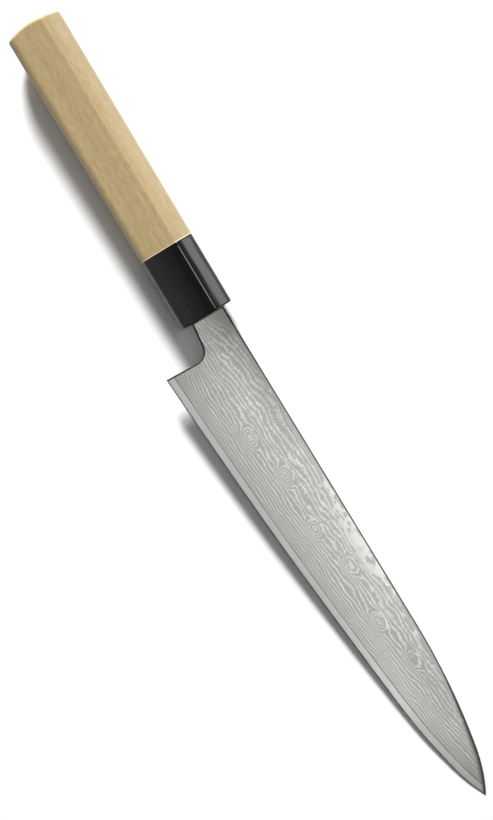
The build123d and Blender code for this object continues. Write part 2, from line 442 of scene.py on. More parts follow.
def layered_steel(name, look, shape, eyes, seed):
    """Folded steel, ground so that its layers come out as flowing lines and ringed eyes."""
    shading = Shading(name, IOR=1.5)
    x, y, _ = shading.flat_place()
    rise, fall = shading.stored("rise") / MM, shading.stored("fall") / MM
    reach, more = look.rate_reach, (look.edge_rate - look.spine_rate) * look.rate_reach

    def waves(pitch_along, pitch_across, detail, shift):
        """Noise round nought, with its pitches in millimetres."""
        place = (x / pitch_along + seed, y / pitch_across, seed + shift)
        return shading.noise(place, detail) - 0.5

    # The lines are counted from the edge, and slow waves bend them. Towards the ferrule they are
    # drawn together into the lower corner of the neck
    draw = shading.math("MINIMUM", shading.math("EXPONENT", (6 - x) / 11) * 5, 7)
    drawn = rise + draw * shading.math("TANH", (y + 8.5) / 3.2)
    lines = drawn * look.spine_rate + shading.math("TANH", drawn / reach) * more
    lines = lines + waves(24, 9, 1, 3) * (look.long_waves * 2)
    # An eye takes the lines round it into its rings
    for eye_x, eye_y, rings in eyes:
        eye_rise = eye_y - shape.edge(eye_x * MM) / MM
        level = round(eye_rise * look.spine_rate + tanh(eye_rise / reach) * more)
        along = (x - eye_x) / EYE_HALF_LENGTH
        across = (y - eye_y) / EYE_HALF_HEIGHT
        away = along * along + across * across + waves(3.5, 2.5, 1, 61 + eye_x) * 0.6
        ringed = shading.math("EXPONENT", 0 - away) * rings + level
        lines = lines + shading.ramp(away, 0.6, 3.6, 1, 0) * (ringed - lines)
    lines = lines + waves(6, 3.2, 1, 11) * (look.short_waves * 2)
    lines = lines + waves(0.8, 0.8, 2, 19) * shading.ramp(rise, 5, 20, 0.15, 2.6) * look.rags
    wave = shading.math("COSINE", lines * (2 * pi)) * 0.5 + 0.5
    line = shading.ramp(wave, 0.45, 0.95)
    # The lines are faint at the ferrule, under the spine and in cloudy places
    body = shading.ramp(fall, 0.4, 3.5) * shading.ramp(x - y * 1.2, -2, 9, 0.1, 1)
    body = body * shading.ramp(waves(7, 4, 2, 29), -0.3, 0.2, 0.55, 1)
    body = body * shading.ramp(rise, 3, 9, 0.75, 1)
    # A ragged bright patch lies under the spine
    cloud = waves(5, 2.6, 6, 53) + shading.bell(x, 108, 30) * 0.2 - 0.14
    cloud = shading.ramp(cloud, -0.02, 0.05) * shading.ramp(fall, 0.3, 0.9)
    cloud = cloud * shading.ramp(fall, 4, 8, 1, 0)
    patch = cloud * shading.ramp(fall, 1, 6, 0.95, 0.65)
    grain = waves(0.35, 0.35, 2, 41) * 0.3
    strength = shading.math("MAXIMUM", line * body, patch) + grain
    shades = shading.blend(strength, look.dark, look.light)
    over_seam = shading.ramp(shading.stored("over core"), 0.05 * MM, 0.3 * MM)
    shades = shading.blend(over_seam, look.seam, shades)
    shades = shading.blend(shading.ramp(x, 0.35, 0.7), look.root, shades)
    # Painted shade darkens the neck and the tip, and the spine's side is darker near the ferrule
    painted_shade_and_sheen = shading.ramp(fall, 1, 12, 0.3, 0) * shading.ramp(x, 30, 75, 1, 0)
    painted_shade_and_sheen = painted_shade_and_sheen + shading.ramp(x, 3, 40, 0.22, 0) + shading.ramp(x, 196, 220, 0, 0.2)
    # A painted sheen brightens the edge's side before the tip and darkens the rest there a little
    painted_shade_and_sheen = painted_shade_and_sheen + painted_sheen_stretch(shading, x) * shading.ramp(rise, 4, 15, -0.2, 0.08)
    shading.finish_painted_rim(x, shading.scaled(shades, 1 - painted_shade_and_sheen), look.rim, 0.38 - strength * 0.05)
    shading.relief(strength, 0.006 * MM)
    return shading.material


def core_steel(name, look, sizes):
    """Plain satin steel with fine scratches along the edge."""
    shading = Shading(name, IOR=1.5)
    x, y, _ = shading.flat_place()
    scratches = shading.noise((x / 9, y * 6, 0.0), 3)
    cloud = shading.noise((x / 14, y / 4, 5.0), 2)
    # A painted sheen brightens the core in the stretch before the tip
    bright = painted_sheen_stretch(shading, x) * 0.3
    shades = shading.scaled(look.core, scratches * 0.1 + cloud * 0.2 + 0.85 + bright)
    under_seam = shading.ramp(shading.stored("over core"), -0.2 * MM, -0.05 * MM)
    shades = shading.blend(under_seam, shades, look.seam)
    bevel = sizes.bevel_width
    ground = shading.ramp(shading.stored("rise"), bevel * 0.9, bevel * 1.1)
    shading.finish_painted_rim(x, shades, look.rim, ground * 0.1 + scratches * 0.06 + 0.25)
    return shading.material


def pale_wood(name, look):
    """Bare, fine sanded wood with short vessels along the handle."""
    shading = Shading(name, IOR=1.45)
    x, y, z = shading.knife_place()
    bands = shading.noise((x / 160, y / 3.4, z / 3.4), 2)
    fibres = shading.noise((x / 20, y * 3.2, z * 3.2), 3)
    vessels = shading.noise((x / 3.6, y * 4, z * 4), 1)
    dashes = shading.ramp(vessels, 0.5, 0.72)
    flecks = shading.noise((x / 3.5, y * 2, z * 2), 3, 0.6)
    shade = shading.ramp(bands, 0.3, 0.7) * 0.35 + shading.ramp(fibres, 0.3, 0.7) * 0.3
    shade = shade + dashes * 0.6
    # A painted sheen greys the facet on the spine side, up to a line that wanders along the grain
    wandering = shading.noise((x / 40, y / 6, 0.0), 2) * 4 - 2
    painted_facet_sheen = shading.ramp(y + wandering, 5, 11, 0, 0.7)
    shades = shading.blend(painted_facet_sheen, shading.blend(shade, look.pale, look.dark), look.painted_facet_sheen)
    # Paler towards the ferrule, flecked all over, and darker past the ridge by painted shade
    paler = shading.ramp(x, -135, -50, 0.97, 1.07)
    paler = paler + shading.ramp(flecks, 0.36, 0.64, 0.07, -0.07)
    # Painted shade darkens the spine's facet near the ridge and towards its far corner
    paler = paler - shading.ramp(y, 3.8, 5.2, 0, 0.14) - shading.ramp(y, 8, 11.5, 0, 0.07)
    shades = shading.scaled(shades, paler)
    # A painted highlight makes the end at the seam pale
    ferrule_back = -bpy.context.scene.knife_handle.ferrule_length / MM
    painted_seam_highlight = shading.ramp(x, ferrule_back - 0.5, ferrule_back - 0.3)
    shades = shading.blend(painted_seam_highlight, shades, look.end)
    shading.set(shading.shader, Base_Color=shades, Roughness=fibres * 0.2 + 0.48)
    shading.relief(fibres * 0.6 - dashes, 0.03 * MM, 0.5)
    return shading.material


def black_resin(name, look):
    """Polished black resin with the slight waves that buffing leaves."""
    shading = Shading(name, IOR=1.46)
    x, y, z = shading.knife_place()
    buffing = shading.noise((x / 22, y / 7, z / 7), 1)
    haze = shading.noise((x / 5, y / 5, z / 5), 1)
    streaks = shading.noise((x / 16, y / 3, z / 3), 2)
    # Painted reflection: the black greys towards the edge side
    grey = tuple(2.4 * part for part in look.black)
    paler = shading.ramp(y + streaks * 5 - 2.5, -10, 2, 1, 0)
    # A painted dark reflection deepens the black past a faint, uneven line below the ridge
    reflection_line = shading.noise((x / 7, 3.0, 0.0), 3) * 5 - 1.6
    painted_dark_reflection = shading.ramp(y - reflection_line, 0, 0.35, 1, 0.68)
    shades = shading.scaled(shading.blend(paler, look.black, grey), painted_dark_reflection)
    shading.set(shading.shader, Base_Color=shades, Roughness=haze * 0.04 + 0.09)
    shading.relief(buffing, 0.5 * MM, 0.35)
    return shading.material


def cast_resin(name, tint):
    """Dull cast resin, slightly cloudy."""
    shading = Shading(name, IOR=1.5)
    cloud = shading.noise(shading.knife_place(), 3, scale=0.7)
    dark = tuple(0.6 * part for part in tint)
    shades = shading.blend(cloud, dark, tint)
    shading.set(shading.shader, Base_Color=shades, Roughness=cloud * 0.2 + 0.45)
    return shading.material


class Shaping(Graph):
    """One tree of geometry nodes, with named inputs."""

    def __init__(self, name, sizes, counts=()):
        super().__init__(bpy.data.node_groups.new(name, "GeometryNodeTree"))
        face = self.tree.interface
        kinds = [("Geometry", "Geometry"), *((key, "Int") for key in counts)]
        kinds += [*((key, "Float") for key in sizes), ("Material", "Material")]
        for key, kind in kinds:
            face.new_socket(key, in_out="INPUT", socket_type="NodeSocket" + kind)
        face.new_socket("Geometry", in_out="OUTPUT", socket_type="NodeSocketGeometry")
        self.inputs = self.node("NodeGroupInput").outputs

    def size(self, name):
        """One of the tree's inputs."""
        return Term(self, self.inputs[name])

    def stored(self, name, kind="FLOAT"):
        """What the seed mesh carries under this name."""
        made = self.node("GeometryNodeInputNamedAttribute", data_type=kind)
        made.inputs[0].default_value = name
        return Term(self, made.outputs[0])

    def moved(self, geometry, position):
        """The geometry with its points put in new places."""
        made = self.node("GeometryNodeSetPosition")
        return self.set(made, Geometry=geometry, Position=position).outputs[0]

    def merged(self, geometry):
        """The geometry with its doubled points made one."""
        made = self.node("GeometryNodeMergeByDistance")
        return self.set(made, Geometry=geometry, Distance=MERGE_DISTANCE).outputs[0]

    def finish(self, geometry):
        """Realizes the geometry, dresses it and gives it out."""
        whole = self.set(self.node("GeometryNodeRealizeInstances"), Geometry=geometry)
        dressed = self.node("GeometryNodeSetMaterial")
        self.set(dressed, Geometry=whole.outputs[0], Material=self.inputs["Material"])
        self.tree.links.new(dressed.outputs[0], self.node("NodeGroupOutput").inputs[0])
        return self.tree


def grown(seed, tree, **values):
    """The plain mesh that a tree makes of a seed mesh."""
    holder = bpy.data.objects.new(seed.name, seed)
    bpy.context.scene.collection.objects.link(holder)
    growth = holder.modifiers.new(tree.name, "NODES")
    growth.node_group = tree
    for item in tree.interface.items_tree:
        key = item.name.replace(" ", "_")
        if item.in_out == "INPUT" and key in values:
            growth[item.identifier] = values[key]
    seen = holder.evaluated_get(bpy.context.evaluated_depsgraph_get())
    mesh = bpy.data.meshes.new_from_object(seen)
    bpy.data.objects.remove(holder)
    return mesh


def tidied(mesh, crease):
    """The mesh with its faces outwards, smooth but for edges sharper than the crease."""
    work = bmesh.new()
    work.from_mesh(mesh)
    bmesh.ops.remove_doubles(work, verts=work.verts, dist=MERGE_DISTANCE)
    bmesh.ops.dissolve_degenerate(work, edges=work.edges, dist=SHORTEST_EDGE)
    bmesh.ops.recalc_face_normals(work, faces=work.faces)
    if work.calc_volume(signed=True) < 0:
        bmesh.ops.reverse_faces(work, faces=work.faces)
    work.to_mesh(mesh)
    work.free()
    mesh.shade_smooth()
    mesh.set_sharp_from_angle(angle=crease)
    return mesh


def piece(name, mesh, node):
    """A finished piece in its place in the frame, standing for one packed node."""
    mesh.transform(knife_placement())
    made = bpy.data.objects.new(name, mesh)
    bpy.context.scene.collection.objects.link(made)
    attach(made, BODY)
    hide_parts(node)


def smooth_value(stations, run, column):
    """A smooth line through stations that each start with their share of the run."""
    last = len(stations) - 1
    index = next((i for i in range(1, last) if run <= stations[i][0]), last)
    slopes = []
    for i in (index - 1, index):
        before, after = stations[max(i - 1, 0)], stations[min(i + 1, last)]
        slopes.append((after[column] - before[column]) / (after[0] - before[0]))
    start, end = stations[index - 1], stations[index]
    step = end[0] - start[0]
    t = (run - start[0]) / step
    return (
        start[column] * (1 + 2 * t) * (1 - t) ** 2
        + slopes[0] * step * t * (1 - t) ** 2
        + end[column] * t * t * (3 - 2 * t)
        - slopes[1] * step * t * t * (1 - t)
    )


def tangent_arc(start, tangent, end):
    """Centre and radius of the arc that leaves start along the tangent, bending right, to end."""
    chord = end - start
    inward = Vector((tangent.y, -tangent.x)).normalized()
    radius = chord.length_squared / (2 * chord.dot(inward))
    return start + radius * inward, radius


def spread(start, end, count):
    """Evenly spaced values from start up to, but without, end."""
    return [start + (end - start) * i / count for i in range(count)]


class BladeShape:
    """The outline and the grind of the blade, from its sizes.

    From the ferrule the spine rises straight to its peak, drops along one arc as far as the turn
    and along a second one to the tip.
    """

    def __init__(self, sizes):
        self.sizes = sizes
        self.tip_x = sizes.neck_reach + sizes.blade_run
        self.top_y = sizes.spine_at_peak + sizes.grind_overrun
        self.neck_top = Vector((0, sizes.spine_at_neck))
        peak_x = sizes.neck_reach + SPINE_PEAK_SHARE * sizes.blade_run
        self.peak = Vector((peak_x, sizes.spine_at_peak))
        self.tip = Vector((self.tip_x, sizes.tip_flat - sizes.tip_depth))
        turn_run, turn_drop = SPINE_TURN_SHARES
        turn_y = self.peak.y - turn_drop * (self.peak.y - self.tip.y)
        self.turn = Vector((sizes.neck_reach + turn_run * sizes.blade_run, turn_y))
        rising = self.peak - self.neck_top
        self.drop_centre, self.drop_radius = tangent_arc(self.peak, rising, self.turn)
        spoke = self.turn - self.drop_centre
        leaving = Vector((spoke.y, -spoke.x))
        self.nose_centre, self.nose_radius = tangent_arc(self.turn, leaving, self.tip)
        self.choil_top = Vector((sizes.choil_start, -sizes.choil_depth))
        foot_y = -sizes.choil_depth - sizes.choil_drop
        self.choil_foot = Vector((sizes.neck_reach + sizes.heel_lean, foot_y))
        neck_slope = Vector((sizes.choil_start, sizes.neck_depth - sizes.choil_depth))
        choil = tangent_arc(self.choil_top, neck_slope, self.choil_foot)
        self.choil_centre, self.choil_radius = choil
        self.shoulder_end = -sizes.shoulder_start - sizes.shoulder_length
        self.tang_round = -sizes.tang_length + sizes.tang_end_height / 2

    def spine(self, x):
        """Level of the spine."""
        if x <= self.peak.x:
            return self.neck_top.y + (self.peak.y - self.neck_top.y) * x / self.peak.x
        centre, radius = self.drop_centre, self.drop_radius
        if x > self.turn.x:
            centre, radius = self.nose_centre, self.nose_radius
        return centre.y + sqrt(radius**2 - (x - centre.x) ** 2)

    def run(self, x):
        """Share of the way from the heel to the tip."""
        return min(max((x - self.sizes.neck_reach) / self.sizes.blade_run, 0), 1)

    def edge(self, x):
        """Level of the edge, which runs on level behind the heel."""
        rise = smooth_value(GRIND_STATION_SHARES, self.run(x), 1)
        return rise * (self.sizes.heel_depth - self.sizes.tip_depth) - self.sizes.heel_depth

    def thickness_share(self, x):
        """Thickness of the spine here, as a share of its thickness at the heel."""
        return smooth_value(GRIND_STATION_SHARES, self.run(x), 2)

    def core_rise(self, x):
        """How far above the edge the grind comes out of the core into the cladding."""
        sizes = self.sizes
        half = self.thickness_share(x) * sizes.spine_thickness / 2
        run = self.top_y - self.edge(x) - sizes.bevel_width
        drop = half - sizes.bevel_thickness / 2
        radius = (run**2 + drop**2) / (2 * drop)
        sag = half - sizes.core_thickness / 2
        return self.top_y - sqrt(radius**2 - (radius - sag) ** 2) - self.edge(x)

    def cladding_end(self):
        """The place near the tip where the grind leaves no cladding on the core."""
        near, far = self.turn.x, self.tip_x
        for _ in range(24):
            middle = (near + far) / 2
            if self.edge(middle) + self.core_rise(middle) < self.spine(middle):
                near = middle
            else:
                far = middle
        return near

    def tang_half(self, x):
        """Half the height of the tang behind its shoulders."""
        sizes, end = self.sizes, self.tang_round
        if x < end:
            return sqrt(max((sizes.tang_end_height / 2) ** 2 - (x - end) ** 2, 0))
        share = (x - end) / (self.shoulder_end - end)
        return (sizes.tang_end_height + share * (sizes.tang_height - sizes.tang_end_height)) / 2

    def neck_limits(self, x):
        """Lower and upper level of tang, neck and choil."""
        sizes = self.sizes
        if x <= self.shoulder_end:
            return -self.tang_half(x), self.tang_half(x)
        if x < -sizes.shoulder_start:
            share = (x - self.shoulder_end) / sizes.shoulder_length
            half = self.tang_half(self.shoulder_end)
            lower = -half - share * (sizes.neck_depth - half)
            return lower, half + share * (sizes.spine_at_neck - half)
        if x <= 0:
            return -sizes.neck_depth, sizes.spine_at_neck
        if x <= sizes.choil_start:
            share = x / sizes.choil_start
            return -sizes.neck_depth - share * (sizes.choil_depth - sizes.neck_depth), self.spine(x)
        reach = min(x - self.choil_centre.x, self.choil_radius)
        return self.choil_centre.y + sqrt(self.choil_radius**2 - reach**2), self.spine(x)

    def neck_stations(self):
        """Places along tang, neck and choil, up to the choil's foot."""
        sizes, end = self.sizes, self.tang_round
        stations = [end - sizes.tang_end_height / 2 * cos(radians(a)) for a in (0, 20, 40, 60, 80)]
        stations += spread(end, self.shoulder_end, 6) + [self.shoulder_end, -sizes.shoulder_start]
        stations += spread(0, sizes.choil_start, 8)
        centre, radius = self.choil_centre, self.choil_radius
        start = atan2(self.choil_top.x - centre.x, self.choil_top.y - centre.y)
        stations += [centre.x + radius * sin(angle) for angle in spread(start, pi / 2, 16)]
        stations = [x for x in stations if x < self.choil_foot.x - 0.02 * MM]
        return stations + [self.choil_foot.x]

    def lean(self, x, y):
        """How far a column near the heel leans with the heel line."""
        heel_y = -self.sizes.heel_depth
        share = min(max((y - heel_y) / (self.choil_foot.y - heel_y), 0), 1)
        fade = max(1 - (x - self.sizes.neck_reach) / LEAN_REACH, 0)
        return self.sizes.heel_lean * share * fade

    def rim(self, x, y):
        """Distance from spine, neck, choil or heel line, whichever is nearest."""
        nearest = self.neck_limits(x)[1] - y if x < 0 else self.spine(x) - y
        if x <= self.choil_top.x:
            return min(nearest, y - self.neck_limits(x)[0])
        if y > self.choil_foot.y:
            return min(nearest, (Vector((x, y)) - self.choil_centre).length - self.choil_radius)
        return min(nearest, x - self.sizes.neck_reach - self.lean(self.sizes.neck_reach, y))


def flat_sheet(shape, with_edge):
    """One layer of the blade as a flat sheet that carries what the grind needs."""
    sizes = shape.sizes
    ease = [sizes.eased_rim * (1 - cos(angle)) for angle in QUARTER_TURN]

    def neck_levels(lower, upper):
        """Levels of a column whose both ends are rubbed."""
        room = min(1, (upper - lower) / (3 * sizes.eased_rim))
        up = [lower + room * step for step in ease]
        down = [upper - room * step for step in reversed(ease)]
        return up[:-1] + spread(up[-1], down[0], 18) + down

    heel_x = sizes.neck_reach
    foot_levels = neck_levels(shape.choil_foot.y, shape.spine(shape.choil_foot.x))
    heel_low = -sizes.heel_depth + shape.core_rise(heel_x)
    heel_levels = spread(heel_low, shape.choil_foot.y, 10) + foot_levels[: -len(ease)]
    heel_span = foot_levels[-len(ease)] - heel_low
    shares = [(level - heel_low) / heel_span for level in heel_levels]

    def blade_column(x):
        """Points of a column from the edge, or from the end of the cladding, to the spine."""
        edge = shape.edge(x)
        upper = shape.spine(min(x + shape.lean(x, shape.choil_foot.y), shape.tip_x))
        low = min(edge + shape.core_rise(x), upper)
        room = min(1, (upper - low) / (3 * sizes.eased_rim))
        top = upper - room * sizes.eased_rim
        levels = []
        if with_edge:
            bevel_top = min(edge + sizes.bevel_width, low)
            levels = [edge] + spread(bevel_top, low, 4)
        levels += [low + share * (top - low) for share in shares]
        levels += [upper - room * step for step in reversed(ease)]
        return [(x + shape.lean(x, y), y) for y in levels]

    # Stations are closest at the heel line and near the tip
    blade_stations = [heel_x + step for step in ease]
    stretches = (
        (heel_x + 0.6 * MM, heel_x + LEAN_REACH, 12),
        (heel_x + LEAN_REACH, shape.tip_x - 20 * MM, 110),
        (shape.tip_x - 20 * MM, shape.tip_x - 2 * MM, 24),
        (shape.tip_x - 2 * MM, shape.tip_x, 8),
    )
    for start, end, count in stretches:
        blade_stations += spread(start, end, count)
    blade_stations.append(shape.tip_x)
    if not with_edge:
        end = shape.cladding_end()
        blade_stations = [x for x in blade_stations if x < end - 0.1 * MM] + [end]
    patches = [
        [[(x, y) for y in neck_levels(*shape.neck_limits(x))] for x in shape.neck_stations()],
        [blade_column(x) for x in blade_stations],
    ]
    return sheet_mesh(shape, patches)


def sheet_values(shape, x, y):
    """What the grind and the steel need to know of a place on a flat sheet."""
    edge = shape.edge(x)
    top = shape.spine(x) if x > 0 else shape.sizes.spine_at_neck
    return {
        "edge level": edge,
        "thickness share": shape.thickness_share(x),
        "rim": max(shape.rim(x, y), 0),
        "rise": y - edge,
        "fall": top - y,
        "over core": y - edge - shape.core_rise(x),
    }


def sheet_mesh(shape, patches):
    """A flat mesh from patches of columns of points."""
    work = bmesh.new()
    floats = {name: work.verts.layers.float.new(name) for name in sheet_values(shape, 0, 0)}
    place = work.verts.layers.float_vector.new("flat place")
    for columns in patches:
        grid = []
        for column in columns:
            grid.append([])
            for x, y in column:
                vertex = work.verts.new((x, y, 0))
                vertex[place] = (x, y, 0)
                for name, value in sheet_values(shape, x, y).items():
                    vertex[floats[name]] = value
                grid[-1].append(vertex)
        for before, after in zip(grid, grid[1:]):
            for i in range(len(before) - 1):
                work.faces.new((before[i], after[i], after[i + 1], before[i + 1]))
    bmesh.ops.remove_doubles(work, verts=work.verts, dist=MERGE_DISTANCE)
    mesh = bpy.data.meshes.new("flat sheet")
    work.to_mesh(mesh)
    work.free()
    return mesh


def grinding_tree():
    """Gives a flat sheet the part of the ground wedge that lies between two levels."""
    shaping = Shaping(
        "Grinding",
        (
            "Spine thickness", "Bevel width", "Bevel thickness", "Top level", "Eased rim",
            "Layer bottom", "Layer top",
        ),
    )
    x, y, _ = shaping.parts(shaping.node("GeometryNodeInputPosition").outputs[0])
    edge = shaping.stored("edge level")
    half = shaping.stored("thickness share") * shaping.size("Spine thickness") / 2
    bevel_half = shaping.size("Bevel thickness") / 2
    run = shaping.size("Top level") - edge - shaping.size("Bevel width")
    drop = half - bevel_half
    radius = (run * run + drop * drop) / (drop * 2)
    back = shaping.size("Top level") - y
    hollow = shaping.math("SQRT", radius * radius - back * back)
    bevel = bevel_half * (y - edge) / shaping.size("Bevel width")
    skin = shaping.math("MINIMUM", half - radius + hollow, bevel)
    ease = shaping.size("Eased rim")
    short = ease - shaping.math("MINIMUM", shaping.stored("rim"), ease)
    rubbed = ease - shaping.math("SQRT", ease * ease - short * short)
    skin = shaping.math("MAXIMUM", skin - rubbed, 0.0)

    def between_layers(level):
        """The level, held between bottom and top of the layer."""
        above = shaping.math("MAXIMUM", level, shaping.size("Layer bottom"))
        return shaping.math("MINIMUM", above, shaping.size("Layer top"))

    upper = between_layers(skin)
    lower = between_layers(0 - skin)
    under = shaping.set(shaping.node("GeometryNodeFlipFaces"), Mesh=shaping.inputs["Geometry"])
    under = shaping.moved(under.outputs[0], shaping.vector(x, y, lower))
    walls = shaping.node("GeometryNodeExtrudeMesh", mode="FACES")
    shaping.set(walls, Mesh=shaping.inputs["Geometry"], Offset_Scale=0.0, Individual=False)
    pick = shaping.node("GeometryNodeSwitch", input_type="FLOAT")
    for socket, value in zip(pick.inputs, (walls.outputs["Top"], lower, upper)):
        shaping.feed(socket, value)
    over = shaping.moved(walls.outputs["Mesh"], shaping.vector(x, y, pick.outputs[0]))
    joined = shaping.node("GeometryNodeJoinGeometry")
    for half_skin in (under, over):
        shaping.tree.links.new(half_skin, joined.inputs[0])
    return shaping.finish(shaping.merged(joined.outputs[0]))


def handle_corners(handle, share):
    """Corners of the handle's section with their radii, at a share of its length from the butt."""
    half = (handle.height - share * handle.taper) / 2
    left = -handle.thickness / 2
    ridge = handle.thickness / 2
    return (
        (Vector((-half, left)), handle.left_radius),
        (Vector((half, left)), handle.left_radius),
        (Vector((half, ridge - handle.back_drop)), handle.back_radius),
        (Vector((handle.ridge_offset, ridge)), handle.ridge_radius),
        (Vector((-half, ridge - handle.side_drop)), handle.side_radius),
    )


def slot_corners(height, width, offset=0):
    """The same for a slot with round ends."""
    places = [Vector((offset + y * height / 2, z * width / 2)) for y, z in CORNER_SIGNS]
    return [(place, width / 2) for place in places]


def turned(way, angle):
    """A flat direction turned by an angle."""
    x, y = way
    return Vector((x * cos(angle) - y * sin(angle), x * sin(angle) + y * cos(angle)))


def section_spots(corners, crowns):
    """Spots round a section with rounded corners, whose sides may swell by their crowns.

    Each spot is the centre of its curve, the direction outwards and the radius.
    """
    count = len(corners)
    outward = []
    for i in range(count):
        side = (corners[(i + 1) % count][0] - corners[i][0]).normalized()
        outward.append(Vector((side.y, -side.x)))
    centres = []
    for i, (corner, radius) in enumerate(corners):
        before, after = outward[i - 1], outward[i]
        centres.append(corner - radius * (before + after) / (1 + before.dot(after)))
    spots = []
    for i in range(count):
        before, after = outward[i - 1], outward[i]
        turn = acos(max(-1, min(1, before.dot(after))))
        steps = ceil(turn / CORNER_STEP - 0.25)
        for step in range(steps + 1):
            spots.append((centres[i], turned(before, turn * step / steps), corners[i][1]))
        j = (i + 1) % count
        for share in (0.02, 0.08, 0.2, 0.35, 0.5, 0.65, 0.8, 0.92, 0.98):
            radius = corners[i][1] + share * (corners[j][1] - corners[i][1])
            swell = crowns.get(i, 0) * 4 * share * (1 - share)
            spots.append((centres[i].lerp(centres[j], share), after, radius + swell))
    return spots


def length_stations(back, front, back_rounding, front_rounding, dome):
    """Stations along a closed length, from its back face to its front face.

    Each is a place, the draw-in of the skin there, the share that is gathered to the axis, and
    the share of the dome. A narrow ring of faces borders each end.
    """
    ring = 0.04 * MM
    gathers = (1, 0.88, 0.75, 0.6, 0.45, 0.3, 0.15, 0) if dome else (1, 0)
    stations = [(back, back_rounding + ring, gather, dome) for gather in gathers]
    for angle in QUARTER_TURN:
        place = back + back_rounding * (1 - cos(angle))
        stations.append((place, back_rounding * (1 - sin(angle)), 0, dome))
    start, end = back + back_rounding, front - front_rounding
    stations.append((start + 0.2 * MM * dome, 0, 0, dome))
    for share in (0.06, 0.2, 0.4, 0.6, 0.8, 0.99):
        stations.append((start + share * (end - start), 0, 0, 0))
    for angle in QUARTER_TURN:
        place = front - front_rounding * (1 - sin(angle))
        stations.append((place, front_rounding * (1 - cos(angle)), 0, 0))
    return stations + [(front, front_rounding + ring, gather, 0) for gather in (0, 1)]


def length_seed(name, back_spots, front_spots, stations):
    """A seed of loose points: first one for each spot of the section, then one for each station."""
    mesh = bpy.data.meshes.new(name)
    mesh.from_pydata([(0, 0, 0)] * (len(back_spots) + len(stations)), [], [])
    for end, spots in (("back", back_spots), ("front", front_spots)):
        for column, key in enumerate(("centre at ", "outward at ")):
            parts = [part for spot in spots for part in (0.0, *spot[column])]
            layer = mesh.attributes.new(key + end, "FLOAT_VECTOR", "POINT")
            layer.data.foreach_set("vector", parts + [0.0] * (3 * len(stations)))
    numbers = {"corner radius": [spot[2] for spot in back_spots] + [0.0] * len(stations)}
    for column, key in enumerate(("station", "draw in", "gather", "dome")):
        values = [float(station[column]) for station in stations]
        numbers[key] = [0.0] * len(back_spots) + values
    for key, values in numbers.items():
        mesh.attributes.new(key, "FLOAT", "POINT").data.foreach_set("value", values)
    return mesh


def sweeping_tree():
    """Sweeps a tapering section along its stations and closes both ends."""
    shaping = Shaping(
        "Sweeping",
        ("Back", "Front", "Dome radius", "Dome offset"),
        counts=("Section spots",),
    )
    spots = shaping.size("Section spots")
    total = shaping.node("GeometryNodeAttributeDomainSize", component="MESH")
    shaping.feed(total.inputs[0], shaping.inputs["Geometry"])
    stations = Term(shaping, total.outputs["Point Count"]) - spots
    grid = shaping.node("GeometryNodeMeshGrid")
    shaping.set(grid, Vertices_X=stations, Vertices_Y=spots + 1)
    index = Term(shaping, shaping.node("GeometryNodeInputIndex").outputs[0])
    row = shaping.math("FLOOR", (index + 0.5) / (spots + 1))
    column = shaping.math("MODULO", index - row * (spots + 1), spots)

    def sample(name, place, kind="FLOAT"):
        """What the seed's point at this place in its row carries."""
        made = shaping.node("GeometryNodeSampleIndex", data_type=kind)
        value = shaping.stored(name, kind)
        shaping.set(made, Geometry=shaping.inputs["Geometry"], Value=value, Index=place)
        return Term(shaping, made.outputs[0])

    station = sample("station", row + spots)
    draw_in = sample("draw in", row + spots)
    kept = 1 - sample("gather", row + spots)
    radius = sample("corner radius", column) - draw_in
    share = (station - shaping.size("Back")) / (shaping.size("Front") - shaping.size("Back"))
    sides = []
    for end in ("back", "front"):
        centre = shaping.parts(sample("centre at " + end, column, "FLOAT_VECTOR"))
        outward = shaping.parts(sample("outward at " + end, column, "FLOAT_VECTOR"))
        sides.append([middle + way * radius for middle, way in zip(centre[1:], outward[1:])])
    y, z = [(near + (far - near) * share) * kept for near, far in zip(*sides)]
    aside = y - shaping.size("Dome offset")
    dome_radius = shaping.size("Dome radius")
    swell = dome_radius - shaping.math("SQRT", dome_radius * dome_radius - aside * aside - z * z)
    place = station + swell * sample("dome", row + spots)
    swept = shaping.moved(grid.outputs[0], shaping.vector(place, y, z))
    return shaping.finish(shaping.merged(swept))


def closed_length(name, corners_at, ends, roundings, material, crowns=None, dome=None):
    """A closed straight length, tapered between its ends, with a domed back where asked."""
    back, front = ends
    back_spots, front_spots = [section_spots(corners_at(end), crowns or {}) for end in ends]
    stations = length_stations(back, front, *roundings, 1 if dome else 0)
    seed = length_seed(name, back_spots, front_spots, stations)
    tree = bpy.data.node_groups.get("Sweeping") or sweeping_tree()
    dome_radius, dome_offset = dome or (1.0, 0.0)
    mesh = grown(
        seed,
        tree,
        Section_spots=len(back_spots),
        Back=back,
        Front=front,
        Dome_radius=dome_radius,
        Dome_offset=dome_offset,
        Material=material,
    )
    return tidied(mesh, HANDLE_CREASE)


def worked(mesh, tool, operation):
    """The mesh after a tool mesh was cut out of it or joined to it."""
    holders = [bpy.data.objects.new(part.name, part) for part in (mesh, tool)]
    for holder in holders:
        bpy.context.scene.collection.objects.link(holder)
    cut = holders[0].modifiers.new("Cut", "BOOLEAN")
    cut.operation = operation
    cut.solver = "EXACT"
    cut.object = holders[1]
    seen = holders[0].evaluated_get(bpy.context.evaluated_depsgraph_get())
    result = bpy.data.meshes.new_from_object(seen)
    for holder in holders:
        bpy.data.objects.remove(holder)
    return tidied(result, HANDLE_CREASE)


